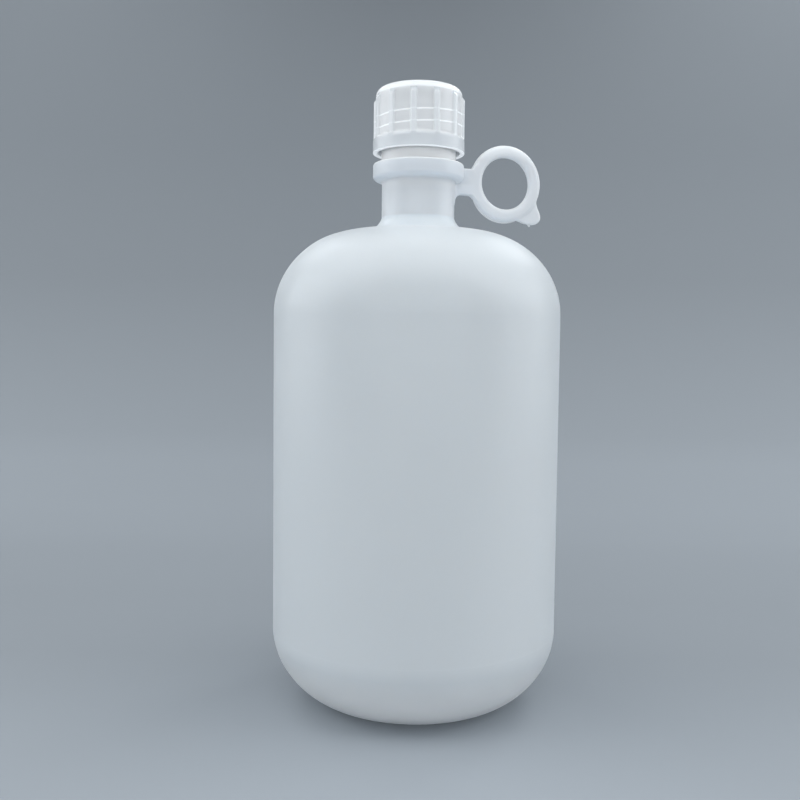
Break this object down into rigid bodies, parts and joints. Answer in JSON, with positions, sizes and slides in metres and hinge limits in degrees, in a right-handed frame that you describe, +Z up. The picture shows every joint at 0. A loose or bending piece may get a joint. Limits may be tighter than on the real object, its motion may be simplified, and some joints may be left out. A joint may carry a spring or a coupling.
{
  "type": "laboratory bottle",
  "caption": "Round narrow-mouth plastic laboratory bottle with rounded shoulder and base, collar and finger ring on the neck, inner stopper and ribbed screw cap.",
  "frame": {"origin": "on the resting plane, under the middle of the round base", "axes": "+Z up along the bottle's axis, +X out of the neck through the finger ring, the ring's plane is XZ"},
  "size_m": [0.165, 0.165, 0.3514],
  "materials": {
    "milky_polyethylene": "milky translucent high-density polyethylene, satin, faint mould texture",
    "clear_polypropylene": "natural translucent polypropylene, smooth",
    "soft_polyethylene": "soft natural low-density polyethylene"
  },
  "bodies": {
    "bottle": {"bottle": "milky_polyethylene"},
    "inner_stopper": {"inner_stopper": "soft_polyethylene"},
    "screw_cap": {"screw_cap": "clear_polypropylene"}
  },
  "joints": [
    {"name": "stopper_lift", "type": "slide", "parent": "bottle", "child": "inner_stopper", "axis": [0, 0, 1], "range_m": [0, 0.03575]},
    {"name": "cap_turn", "type": "hinge", "parent": "inner_stopper", "child": "screw_cap", "pos_m": [0, 0, 0.333], "axis": [0, 0, 1], "range_deg": [0, 1980]}
  ],
  "couplings": [
    {"joint": "cap_turn", "follows": "stopper_lift", "rad_per_m": 966.64}
  ]
}
